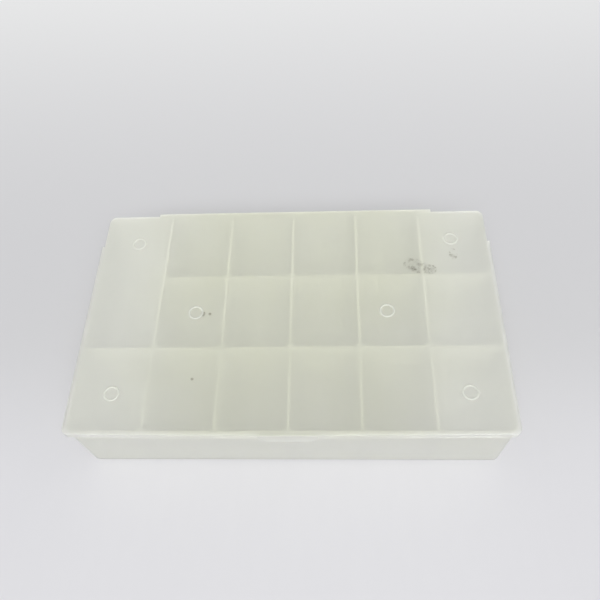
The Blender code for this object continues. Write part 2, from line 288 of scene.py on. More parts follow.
def active(thing):
    """Make one piece the only one that an operator acts on."""
    object_mode()
    thing.select_set(True)
    bpy.context.view_layer.objects.active = thing


def edit(thing):
    """Open one piece in edit mode."""
    if bpy.context.mode != "EDIT_MESH":
        active(thing)
        bpy.ops.object.mode_set(mode="EDIT")


def edit_whole(thing):
    """Open one piece in edit mode with all of it selected."""
    edit(thing)
    bpy.ops.mesh.select_all(action="SELECT")


def placed(name):
    """Name the new object and put its place and size into its mesh."""
    thing = bpy.context.object
    thing.name = name
    thing.data.name = name
    bpy.ops.object.transform_apply(location=True, rotation=True, scale=True)
    return thing


def block(name, low, high):
    """A block between two corners, to be shaped."""
    object_mode()
    low = Vector(low)
    high = Vector(high)
    bpy.ops.mesh.primitive_cube_add(size=1, location=(low + high) / 2, scale=high - low)
    return placed(name)


def copied(thing, name, shift):
    """A copy of a piece with its own mesh, moved to its own place."""
    active(thing)
    bpy.ops.object.duplicate(linked=False)
    bpy.ops.transform.translate(value=shift)
    return placed(name)


def pick(thing, kind, test):
    """Select only the points, edges or faces of a piece that pass a test."""
    edit(thing)
    bpy.ops.mesh.select_mode(type=kind)
    bpy.ops.mesh.select_all(action="DESELECT")
    shape = bmesh.from_edit_mesh(thing.data)
    parts = {"VERT": shape.verts, "EDGE": shape.edges, "FACE": shape.faces}[kind]
    shape.normal_update()
    chosen = [part for part in parts if test(part)]
    if not chosen:
        raise RuntimeError(f"nothing on {thing.name} passes the test")
    for part in chosen:
        part.select_set(True)
    shape.select_flush_mode()
    bmesh.update_edit_mesh(thing.data)


def same(first, second):
    """True if two numbers give the same place."""
    return abs(first - second) < SAME_PLACE


def anywhere(part):
    """A test that every part passes."""
    return True


def both(*tests):
    """A test that passes where all the given tests pass."""
    return lambda part: all(test(part) for test in tests)


def points_at(**places):
    """A test for points at the given places along the named axes."""
    return lambda point: all(same(getattr(point.co, axis), place) for axis, place in places.items())


def upright(edge):
    """True for an edge that runs straight up."""
    first, second = (point.co for point in edge.verts)
    return same(first.x, second.x) and same(first.y, second.y)


def upright_at(place):
    """A test for upright edges at a place along Y."""
    return lambda edge: upright(edge) and same(edge.verts[0].co.y, place)


def level_at(height):
    """A test for edges that lie at one height."""
    return lambda edge: all(same(point.co.z, height) for point in edge.verts)


def lower_corners(axis, low, high):
    """A test for the edges that cross a plate's foot at its two ends along an axis."""

    def test(edge):
        first, second = (point.co[axis] for point in edge.verts)
        at_end = same(first, low[axis]) or same(first, high[axis])
        return at_end and same(first, second) and level_at(low.z)(edge)

    return test


def faces_at(axis, place, sign):
    """A test for faces that lie at a place along an axis and look along it, forwards or backwards."""
    return lambda face: face.normal[axis] * sign > SQUARE_ON and same(face.calc_center_median()[axis], place)


def between(axis, low, high):
    """A test for faces whose middle lies between two places along an axis."""
    return lambda face: low < face.calc_center_median()[axis] < high


def on_ribs(axis, ribs):
    """A test for faces whose middle lies on one of the ribs along an axis."""
    return lambda face: any(between(axis, *rib)(face) for rib in ribs)


def slot_ribs(places, sizes):
    """Low and high edge of each slot rib, a pair at each place."""
    half_slot = sizes.plate / 2 + sizes.slot_clearance
    starts = []
    for place in places:
        starts += [place - half_slot - sizes.rib_width, place + half_slot]
    return [(start, start + sizes.rib_width) for start in starts]


def straight(axis, distance):
    """A shift along one axis."""
    shift = [0, 0, 0]
    shift[axis] = distance
    return shift


def cut(thing, test, axis, place):
    """Cut the faces that pass a test with a plane across an axis."""
    pick(thing, "FACE", test)
    bpy.ops.mesh.bisect(plane_co=straight(axis, place), plane_no=straight(axis, 1), threshold=SAME_PLACE)


def pick_span(thing, test, axis, low, high):
    """Cut the faces that pass a test at two places along an axis and select what lies between."""
    for place in (low, high):
        cut(thing, test, axis, place)
    pick(thing, "FACE", both(test, between(axis, low, high)))


def pull(shift):
    """Extrude the selected faces."""
    bpy.ops.mesh.extrude_region_move(TRANSFORM_OT_translate={"value": shift})


def move(thing, test, shift):
    """Move the points that pass a test."""
    pick(thing, "VERT", test)
    bpy.ops.transform.translate(value=shift)


def round_edges(thing, test, radius, steps):
    """Round the edges that pass a test."""
    pick(thing, "EDGE", test)
    bpy.ops.mesh.bevel(offset=radius, offset_type="OFFSET", segments=steps, affect="EDGES")


def welded(thing):
    """Merge points that coincide."""
    edit_whole(thing)
    bpy.ops.mesh.remove_doubles(threshold=SAME_PLACE)


def modified(thing, label, kind, **settings):
    """Put a modifier on a piece and apply it."""
    active(thing)
    modifier = thing.modifiers.new(label, kind)
    for name, value in settings.items():
        setattr(modifier, name, value)
    bpy.ops.object.modifier_apply(modifier=modifier.name)


def softened(thing, radius):
    """Weld a piece and round every moulded edge that is still sharp."""
    welded(thing)
    rounding = {"width": radius, "segments": SOFT_STEPS, "limit_method": "ANGLE", "angle_limit": SHARP_ANGLE}
    modified(thing, "soft_edges", "BEVEL", **rounding)


def grown_on(thing, helper):
    """Grow a helper shape into a piece and take the helper away."""
    modified(thing, "grown_on", "BOOLEAN", operation="UNION", solver="EXACT", object=helper)
    spare = helper.data
    bpy.data.objects.remove(helper, do_unlink=True)
    bpy.data.meshes.remove(spare)


def smoothed(thing):
    """Shade the round stretches smooth and keep the flat ones flat."""
    active(thing)
    bpy.ops.object.shade_smooth_by_angle(angle=SMOOTH_ANGLE)
    modified(thing, "flat_faces", "WEIGHTED_NORMAL", keep_sharp=True)


def dressed(thing, material, node):
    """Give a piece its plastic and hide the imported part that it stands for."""
    thing.data.materials.clear()
    thing.data.materials.append(material)
    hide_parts(node)


# Nodes


def add_node(tree, kind, inputs=None, **settings):
    """A node with its settings, its inputs set to plain values or joined to other nodes."""
    made = tree.nodes.new(kind)
    for label, value in settings.items():
        setattr(made, label, value)
    for key, value in (inputs or {}).items():
        if isinstance(value, bpy.types.NodeSocket):
            tree.links.new(value, made.inputs[key])
        else:
            made.inputs[key].default_value = value
    return made


def object_place(tree):
    """A point's place on its own object."""
    return add_node(tree, "ShaderNodeTexCoord").outputs["Object"]


def axes_of(tree, vector):
    """The three numbers of a vector, by the names of the axes."""
    return add_node(tree, "ShaderNodeSeparateXYZ", {"Vector": vector}).outputs


def noise(tree, place, scale, detail, **more):
    """Cloudy noise from 0 to 1."""
    inputs = {"Vector": place, "Scale": scale, "Detail": detail, **more}
    return add_node(tree, "ShaderNodeTexNoise", inputs).outputs["Fac"]


def ranged(tree, value, low, high, to_low=0.0, to_high=1.0, curve="LINEAR"):
    """A value carried over from one range to another, and held at its ends."""
    inputs = {"Value": value, "From Min": low, "From Max": high, "To Min": to_low, "To Max": to_high}
    return add_node(tree, "ShaderNodeMapRange", inputs, interpolation_type=curve).outputs[0]


def eased(tree, value, low, high, to_low=0.0, to_high=1.0):
    """A value carried over from one range to another with soft ends."""
    return ranged(tree, value, low, high, to_low, to_high, "SMOOTHSTEP")


def combined(tree, operation, *values):
    """Values or masks worked together one after the other."""
    total = values[0]
    for value in values[1:]:
        total = add_node(tree, "ShaderNodeMath", {0: total, 1: value}, operation=operation).outputs[0]
    return total


def vector_sum(tree, operation, *vectors):
    """One sum on one or two vectors."""
    return add_node(tree, "ShaderNodeVectorMath", dict(enumerate(vectors)), operation=operation).outputs


def mixed_values(tree, mask, first, second):
    """Two values mixed by a mask."""
    return add_node(tree, "ShaderNodeMix", {0: mask, 2: first, 3: second}, data_type="FLOAT").outputs[0]


def mixed_tints(tree, mask, first, second):
    """Two colours mixed by a mask."""
    return add_node(tree, "ShaderNodeMix", {0: mask, 6: first, 7: second}, data_type="RGBA").outputs[2]


def new_group(name, inputs):
    """A shader node group with named inputs: its tree, what it is given and a point's place."""
    group = bpy.data.node_groups.new(name, "ShaderNodeTree")
    for label, value in inputs.items():
        kind = "Float" if isinstance(value, float) else {3: "Vector", 4: "Color"}[len(value)]
        socket = group.interface.new_socket(label, in_out="INPUT", socket_type="NodeSocket" + kind)
        socket.default_value = value
    return group, group.nodes.new("NodeGroupInput").outputs, object_place(group)


def closed(group, label, kind, value):
    """A shader node group that is done, with what it puts out."""
    group.interface.new_socket(label, in_out="OUTPUT", socket_type="NodeSocket" + kind)
    group.links.new(value, group.nodes.new("NodeGroupOutput").inputs[label])
    return group


def group_node(tree, group, values):
    """A group placed in a material with its own values."""
    return add_node(tree, "ShaderNodeGroup", values, node_tree=group)


def made_once(store):
    """Hand a function its own name to build a plastic or a node group under, and build that only once."""

    def wrap(build):
        def find(*given):
            kept = getattr(bpy.data, store).get(build.__name__)
            return build(build.__name__, *given) if kept is None else kept

        return find

    return wrap


# Effects that the plastics share, painted light and shade among them


@made_once("node_groups")
def milky_cloud(name):
    """Uneven milkiness of natural plastic, in soft clouds with finer flow marks."""
    inputs = {"Clear Tint": PALE, "Milky Tint": PALE, "Cloud Scale": 22.0}
    group, given, place = new_group(name, inputs)
    clouds = noise(group, place, given["Cloud Scale"], 3.0, Roughness=0.55, Distortion=0.6)
    stretched = add_node(group, "ShaderNodeMapping", {"Vector": place, "Scale": (3.0, 0.6, 3.0)})
    flow = noise(group, stretched.outputs[0], 60.0, 2.0)
    milk = ranged(group, mixed_values(group, 0.3, clouds, flow), 0.34, 0.68)
    return closed(group, "Tint", "Color", mixed_tints(group, milk, given["Clear Tint"], given["Milky Tint"]))


@made_once("node_groups")
def handling_scuffs(name):
    """Fine crossing scratches and rubbed patches that change how rough the plastic is."""
    inputs = {"Smooth Roughness": 0.3, "Scuffed Roughness": 0.5, "Scratch Scale": 40.0}
    group, given, place = new_group(name, inputs)
    scuffs = [ranged(group, noise(group, place, 34.0, 4.0), 0.4, 0.75, to_high=0.7)]
    for turn, thinness in ((0.35, 30.0), (-0.9, 42.0)):
        turning = {"Vector": place, "Rotation": (0, 0, turn), "Scale": (1.0, thinness, 1.0)}
        turned = add_node(group, "ShaderNodeMapping", turning).outputs[0]
        stroke = noise(group, turned, given["Scratch Scale"], 1.0)
        scuffs.append(ranged(group, stroke, 0.70, 0.78, to_high=0.5))
    scuff = combined(group, "MAXIMUM", *scuffs)
    rough = ranged(group, scuff, 0.0, 1.0, given["Smooth Roughness"], given["Scuffed Roughness"])
    return closed(group, "Roughness", "Float", rough)


@made_once("node_groups")
def moulded_grain(name):
    """The fine grain of a blasted mould over slow sink waves."""
    inputs = {"Grain Scale": 1600.0, "Wave Scale": 26.0, "Wave Share": 0.5}
    group, given, place = new_group(name, inputs)
    grain = noise(group, place, given["Grain Scale"], 2.0)
    wave = noise(group, place, given["Wave Scale"], 1.0)
    return closed(group, "Height", "Float", mixed_values(group, given["Wave Share"], grain, wave))


@made_once("node_groups")
def settled_dust(name):
    """Dust and painted shade: a darker tint between two heights, patchy, with its own thickness in front and
    at the back.

    Inside gives half the width and depth that it keeps within, and Soft Ends how slowly it starts there.
    """
    inputs = {
        "Base Tint": PALE,
        "Dust And Shade Tint": PALE,
        "Thickest": 0.0015,
        "Gone": 0.03,
        "Front Thickness": 0.5,
        "Back Thickness": 0.5,
        "Inside": (1, 1, 0),
        "Soft Ends": 0.0001,
    }
    group, given, place = new_group(name, inputs)
    along = axes_of(group, place)
    depth = eased(group, along["Z"], given["Gone"], given["Thickest"])
    ends = (given["Front Thickness"], given["Back Thickness"])
    thickness = eased(group, along["Y"], FRONT_END, BACK_START, *ends)
    out = vector_sum(group, "ABSOLUTE", place)[0]
    room = axes_of(group, vector_sum(group, "SUBTRACT", given["Inside"], out)[0])
    from_ends = ranged(group, room["X"], 0.0, given["Soft Ends"])
    within = combined(group, "GREATER_THAN", room["Y"], 0.0)
    patchiness = ranged(group, noise(group, place, 55.0, 4.0, Roughness=0.6), 0.25, 0.75, to_low=0.7)
    # Dust and painted shade: where this mask is high the tint is painted darker
    dust_and_shade_mask = combined(group, "MULTIPLY", depth, thickness, from_ends, within, patchiness)
    return closed(group, "Tint", "Color", mixed_tints(group, dust_and_shade_mask, given["Base Tint"], given["Dust And Shade Tint"]))


@made_once("node_groups")
def rubbed_top(name):
    """A painted tint near the top of a piece, patchy, with one colour in front and one at the back: painted
    shade on walls and plates, a painted highlight on the ring marks.
    """
    inputs = {"Base Tint": PALE, "Painted Tint": PALE, "Back Tint": PALE, "Low": 0.0, "High": 0.001}
    group, given, place = new_group(name, inputs)
    along = axes_of(group, place)
    near_top = eased(group, along["Z"], given["Low"], given["High"])
    backwards = eased(group, along["Y"], FRONT_END, BACK_START)
    wear_and_light = mixed_tints(group, backwards, given["Painted Tint"], given["Back Tint"])
    patches = ranged(group, noise(group, place, 130.0, 3.0), 0.3, 0.6, to_low=0.55)
    rubbed = combined(group, "MULTIPLY", near_top, patches)
    return closed(group, "Tint", "Color", mixed_tints(group, rubbed, given["Base Tint"], wear_and_light))


@made_once("node_groups")
def handled_ends(name):
    """Painted light: a paler tint, more and more towards both ends of a piece along X."""
    inputs = {"Base Tint": PALE, "Painted Tint": PALE, "Inner": 0.04, "Outer": 0.1}
    group, given, place = new_group(name, inputs)
    far = axes_of(group, vector_sum(group, "ABSOLUTE", place)[0])["X"]
    wander = ranged(group, noise(group, place, 18.0, 3.0), 0.3, 0.7, -0.008, 0.008)
    wear_and_light = eased(group, combined(group, "ADD", far, wander), given["Inner"], given["Outer"])
    tint = mixed_tints(group, wear_and_light, given["Base Tint"], given["Painted Tint"])
    return closed(group, "Tint", "Color", tint)


@made_once("node_groups")
def grime_patch(name):
    """A small rubbed-in mark that breaks up towards its edge."""
    inputs = {"Middle": (0, 0, 0), "Reach": (1, 1, 1), "Speck Scale": 700.0, "Cover": 0.5, "Core": 0.4}
    group, given, place = new_group(name, inputs)
    offset = vector_sum(group, "SUBTRACT", place, given["Middle"])[0]
    scaled = vector_sum(group, "DIVIDE", offset, given["Reach"])[0]
    far = vector_sum(group, "LENGTH", scaled)["Value"]
    fade = eased(group, far, 1.0, 0.75)
    outline = ranged(group, far, 0.3, 0.8, to_low=given["Core"])
    specks = noise(group, place, given["Speck Scale"], 3.0, Roughness=0.6)
    bare = combined(group, "SUBTRACT", 1.0, given["Cover"])
    broken = ranged(group, specks, bare, 0.72)
    return closed(group, "Mark", "Float", combined(group, "MULTIPLY", fade, broken, outline))


# Plastics


def opaque(tint):
    """A colour with its fourth number."""
    return (*tint, 1)


def frosted_plastic(name, tints, clearness, lamp_share, roughness, grain, waves):
    """Frosted plastic: cloudy, scuffed and finely grained, with lamplight let through to what is behind."""
    clear, milky = (opaque(tint) for tint in tints)
    material = bpy.data.materials.new(name)
    material.use_nodes = True
    tree = material.node_tree
    shader = tree.nodes["Principled BSDF"]
    shader.inputs["IOR"].default_value = PLASTIC_IOR
    shader.inputs["Transmission Weight"].default_value = clearness
    cloud = group_node(tree, milky_cloud(), {"Clear Tint": clear, "Milky Tint": milky})
    smooth, scuffed = roughness
    wear_and_light = {"Smooth Roughness": smooth, "Scuffed Roughness": scuffed}
    scuffs = group_node(tree, handling_scuffs(), wear_and_light)
    surface = group_node(tree, moulded_grain(), {"Wave Share": waves})
    bumps = {"Strength": grain, "Distance": GRAIN_DEPTH, "Height": surface.outputs["Height"]}
    relief = add_node(tree, "ShaderNodeBump", bumps)
    tree.links.new(cloud.outputs["Tint"], shader.inputs["Base Color"])
    tree.links.new(scuffs.outputs["Roughness"], shader.inputs["Roughness"])
    tree.links.new(relief.outputs[0], shader.inputs["Normal"])
    path = add_node(tree, "ShaderNodeLightPath")
    through = combined(tree, "MULTIPLY", path.outputs["Is Shadow Ray"], lamp_share)
    see_through = add_node(tree, "ShaderNodeBsdfTransparent", {"Color": milky})
    shaders = {0: through, 1: shader.outputs[0], 2: see_through.outputs[0]}
    mixed = add_node(tree, "ShaderNodeMixShader", shaders)
    tree.links.new(mixed.outputs[0], tree.nodes["Material Output"].inputs["Surface"])
    return material


def base_colour(material):
    """Where a plastic takes its colour, and what feeds it now."""
    socket = material.node_tree.nodes["Principled BSDF"].inputs["Base Color"]
    return socket, socket.links[0].from_socket


def overlaid(material, group, values):
    """Lay a layer over a plastic's own colour: dust and painted shade, painted shade alone, or painted light.
    """
    tree = material.node_tree
    socket, tint_below = base_colour(material)
    layer = group_node(tree, group, {"Base Tint": tint_below, **values})
    tree.links.new(layer.outputs["Tint"], socket)


def dust_layer(tint, front, back, thickest, gone, **more):
    """Values of a layer of dust and painted shade, or of painted shade alone: its colour, its thickness, and
    the heights that it lies between.
    """
    heights = {"Thickest": thickest, "Gone": gone}
    return {"Dust And Shade Tint": opaque(tint), "Front Thickness": front, "Back Thickness": back, **heights, **more}


def rim_tint(front, back, top):
    """Values that paint the uppermost edge of a piece, in front and at the back, with painted shade on walls
    and plates and a painted highlight on the ring marks.
    """
    heights = {"Low": top - RIM_START, "High": top - RIM_FULL}
    return {"Painted Tint": opaque(front), "Back Tint": opaque(back), **heights}


def stained(material, grime):
    """Rub the old marks into the lid's top."""
    tree = material.node_tree
    marks = []
    for middle, reach, scale, cover, core in LID_MARKS:
        values = {
            "Middle": (*middle, LID_HIGH.z),
            "Reach": (*reach, MARK_DEPTH),
            "Speck Scale": scale,
            "Cover": cover,
            "Core": core,
        }
        marks.append(group_node(tree, grime_patch(), values).outputs["Mark"])
    socket, tint_below = base_colour(material)
    covered = combined(tree, "MAXIMUM", *marks)
    tree.links.new(mixed_tints(tree, covered, tint_below, opaque(grime)), socket)


@made_once("materials")
def frosted_lid_plastic(name, finish):
    """The lid's clearer plastic, with painted light towards its ends, painted shade along the skirt, and old
    marks on its top.
    """
    tints = (finish.lid_tint, finish.lid_milk)
    material = frosted_plastic(
        name, tints, finish.lid_clearness, lamp_share=0.85, roughness=(0.29, 0.34), grain=0.02, waves=0.6
    )
    # Painted light towards both ends of the lid
    ends = {"Painted Tint": opaque(finish.lid_ends), "Inner": 0.035, "Outer": 0.09}
    overlaid(material, handled_ends(), ends)
    # Painted shade on the skirt, darker towards its foot and in front
    lower_shade = dust_layer(finish.fingers, front=0.55, back=0.2, thickest=TAB_LOW.z, gone=TAB_HIGH.z)
    overlaid(material, settled_dust(), lower_shade)
    stained(material, finish.grime)
    return material


@made_once("materials")
def frosted_latch_plastic(name, finish):
    """The latch tab's plastic, milkier than the lid's because it is bent so often, with painted shade towards
    its foot.
    """
    tints = (finish.lid_tint, finish.lid_milk)
    material = frosted_plastic(
        name, tints, finish.latch_clearness, lamp_share=0.85, roughness=(0.34, 0.40), grain=0.02, waves=0.6
    )
    above = TAB_HIGH.z + SHADE_ABOVE
    lower_shade = dust_layer(finish.fingers, front=0.62, back=0.2, thickest=TAB_LOW.z, gone=above)
    overlaid(material, settled_dust(), lower_shade)
    return material


@made_once("materials")
def frosted_tray_plastic(name, finish):
    """The tray's plastic, with dust and painted shade on its floor, painted shade on its walls that is darker
    higher up, and painted shade along its rim.
    """
    tints = (finish.wall_tint, finish.wall_milk)
    material = frosted_plastic(
        name, tints, finish.wall_clearness, lamp_share=0.15, roughness=(0.34, 0.40), grain=0.04, waves=0.5
    )
    inner = Vector((TRAY_HIGH.x, -TRAY_LOW.y, 0)) - DUST_AND_SHADE_INSET
    middle_columns = {"Inside": (SHADE_REACH, inner.y, 0), "Soft Ends": SHADE_SOFTNESS}
    # Dust and painted shade on the floor of the middle columns, deepest in front; the outer columns are left
    # lighter
    on_floor = dust_layer(finish.dust, front=1.0, back=0.35, thickest=0.002, gone=0.005, **middle_columns)
    overlaid(material, settled_dust(), on_floor)
    # Painted shade on the walls, darker higher up
    on_walls = dust_layer(finish.dust, front=0.4, back=0.4, thickest=0.03, gone=0.004, Inside=inner)
    overlaid(material, settled_dust(), on_walls)
    # Painted shade along the tray's rim
    overlaid(material, rubbed_top(), rim_tint(finish.edge, finish.edge, TRAY_HIGH.z))
    return material


def plate_plastic(name, finish, tints, dust_and_shade_depth, edges):
    """The milkier plastic of the plates inside, with dust and painted shade darker low down and painted shade
    along its top edge.
    """
    material = frosted_plastic(
        name, tints, finish.plate_clearness, lamp_share=0.5, roughness=(0.36, 0.42), grain=0.04, waves=0.4
    )
    # Dust and painted shade, darker low down on the plates and towards the front
    overlaid(material, settled_dust(), dust_layer(finish.dust, *dust_and_shade_depth, thickest=0.002, gone=0.08))
    # Painted shade along the plates' top edge
    overlaid(material, rubbed_top(), rim_tint(*edges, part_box(DIVIDERS[0])[1].z))
    return material


@made_once("materials")
def frosted_divider_plastic(name, finish):
    """The column dividers' plastic, with painted shade along the top that is less deep towards the back."""
    tints = (finish.divider_tint, finish.divider_milk)
    return plate_plastic(name, finish, tints, (0.45, 0.12), (finish.edge, finish.back_edge))


@made_once("materials")
def frosted_partition_plastic(name, finish):
    """The cross partitions' plastic, painted darker than the dividers' as painted shade, with painted shade
    along its top edge.
    """
    tints = (finish.plate_tint, finish.plate_milk)
    return plate_plastic(name, finish, tints, (0.62, 0.2), (finish.edge, finish.edge))


@made_once("materials")
def rubbed_ring_plastic(name, finish):
    """The ring marks' plastic, less clear than the lid round it, with a painted highlight that whitens their
    tops.
    """
    tints = (finish.lid_tint, finish.lid_milk)
    material = frosted_plastic(
        name, tints, finish.ring_clearness, lamp_share=0.5, roughness=(0.40, 0.48), grain=0.04, waves=0.4
    )
    # Painted highlight on the tops of the ring marks
    overlaid(material, rubbed_top(), rim_tint(finish.rubbed, finish.rubbed, LID_HIGH.z))
    return material


# Pieces


class SORTING_OT_tray_shell(bpy.types.Operator):
    """Model the tray: floor, walls, slot ribs, hinge flange and latch catch in one moulding"""

    bl_idname = "sorting.tray_shell"
    bl_label = "Tray"

    def execute(self, context):
        sizes = context.scene.sorting_tray
        lid = context.scene.sorting_lid
        half_width = TRAY_HIGH.x
        back = TRAY_HIGH.y - lid.flange_depth
        top = TRAY_HIGH.z
        tray = block("frosted_tray", (-half_width, -back, 0), (half_width, back, top))
        round_edges(tray, upright, sizes.corner_radius, TRAY_CORNER_STEPS)
        pick(tray, "FACE", faces_at(Z, top, 1))
        bpy.ops.mesh.inset(thickness=sizes.wall, use_even_offset=True)
        pull((0, 0, sizes.floor - top))
        round_edges(tray, level_at(0), sizes.base_radius, BASE_STEPS)
        round_edges(tray, level_at(sizes.floor), sizes.floor_fillet, FILLET_STEPS)
        self.raise_ribs(tray, sizes, half_width - sizes.wall, back - sizes.wall)
        self.raise_flange(tray, lid, back, top)
        self.raise_catch(tray, lid, back)
        softened(tray, sizes.soft_edge)
        smoothed(tray)
        dressed(tray, frosted_tray_plastic(context.scene.sorting_finish), "tray_shell")
        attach(tray, "tray")
        return {"FINISHED"}

    def raise_ribs(self, tray, sizes, inner_x, inner_y):
        """Pairs of ribs on the inner walls, with a slot between for each plate."""
        across = slot_ribs([middle_of(name).x for name in DIVIDERS], sizes)
        along = slot_ribs(ROWS, sizes)
        for axis, wall_axis, ribs, reach in ((X, Y, across, inner_y), (Y, X, along, inner_x)):
            for side in (-1, 1):
                wall = faces_at(wall_axis, side * reach, -side)
                for place in sum(ribs, ()):
                    cut(tray, wall, axis, place)
                pick(tray, "FACE", both(wall, on_ribs(axis, ribs)))
                pull(straight(wall_axis, -side * sizes.rib_depth))

    def raise_flange(self, tray, lid, back, top):
        """The flange that carries the hinge strip along the back rim."""
        wall = faces_at(Y, back, 1)
        foot = top - lid.flange_thickness
        cut(tray, wall, Z, foot)
        pick_span(tray, both(wall, between(Z, foot, top)), X, WEB_LOW.x, WEB_HIGH.x)
        pull((0, lid.flange_depth, 0))

    def raise_catch(self, tray, lid, back):
        """The ridge that the latch tab snaps under."""
        ridge = -back - TRAY_LOW.y
        half = lid.catch_width / 2
        foot = TAB_LOW.z + lid.latch_bead_rise + lid.latch_bead_height / 2 + lid.snap_gap
        peak = foot + lid.catch_undercut
        head = peak + lid.catch_ramp
        wall = faces_at(Y, -back, -1)
        pick_span(tray, wall, X, -half, half)
        pick_span(tray, both(wall, between(X, -half, half)), Z, foot, head)
        pull((0, -ridge, 0))
        for height in (foot, head):
            move(tray, points_at(y=-back - ridge, z=height), (0, 0, peak - height))


def stand_in_tray(plates, material):
    """Dress plates once all are made, because a copy would keep what its model stands for."""
    for node, plate in plates.items():
        dressed(plate, material, node)
        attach(plate, "tray")


class SORTING_OT_column_dividers(bpy.types.Operator):
    """Model one column divider with its slot ribs and copy it to the other places"""

    bl_idname = "sorting.column_dividers"
    bl_label = "Column Dividers"

    def execute(self, context):
        sizes = context.scene.sorting_tray
        first = DIVIDERS[0]
        low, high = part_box(first)
        place = middle_of(first).x
        half = sizes.plate / 2
        name = f"frosted_divider_{first[-1]}"
        plate = block(name, (place - half, low.y, low.z), (place + half, high.y, high.z))
        ribs = slot_ribs(ROWS, sizes)
        for edge in sum(ribs, ()):
            cut(plate, anywhere, Y, edge)
        for side in (-1, 1):
            pick(plate, "FACE", both(faces_at(X, place + side * half, side), on_ribs(Y, ribs)))
            pull((side * sizes.rib_depth, 0, 0))
        round_edges(plate, lower_corners(Y, low, high), sizes.lead_in, 1)
        softened(plate, sizes.soft_edge)
        smoothed(plate)
        plates = {first: plate}
        for node in DIVIDERS[1:]:
            shift = (middle_of(node).x - place, 0, 0)
            plates[node] = copied(plate, f"frosted_divider_{node[-1]}", shift)
        stand_in_tray(plates, frosted_divider_plastic(context.scene.sorting_finish))
        return {"FINISHED"}


class SORTING_OT_partitions(bpy.types.Operator):
    """Model a cross partition of each width and copy it to the places of that width"""

    bl_idname = "sorting.partitions"
    bl_label = "Partitions"

    def execute(self, context):
        models = {}
        plates = {}
        for node in PARTITIONS:
            low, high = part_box(node)
            row, column = node.split("_partition_")
            name = f"frosted_partition_{row}_{column}"
            width = round(high.x - low.x, 5)
            if width in models:
                model, start = models[width]
                plates[node] = copied(model, name, low - start)
            else:
                plates[node] = self.model(name, low, high, context.scene.sorting_tray)
                models[width] = (plates[node], low)
        stand_in_tray(plates, frosted_partition_plastic(context.scene.sorting_finish))
        return {"FINISHED"}

    def model(self, name, low, high, sizes):
        """A plate with a lead-in on its lower corners and rounded edges."""
        plate = block(name, low, high)
        round_edges(plate, lower_corners(X, low, high), sizes.lead_in, 1)
        softened(plate, sizes.soft_edge)
        smoothed(plate)
        return plate


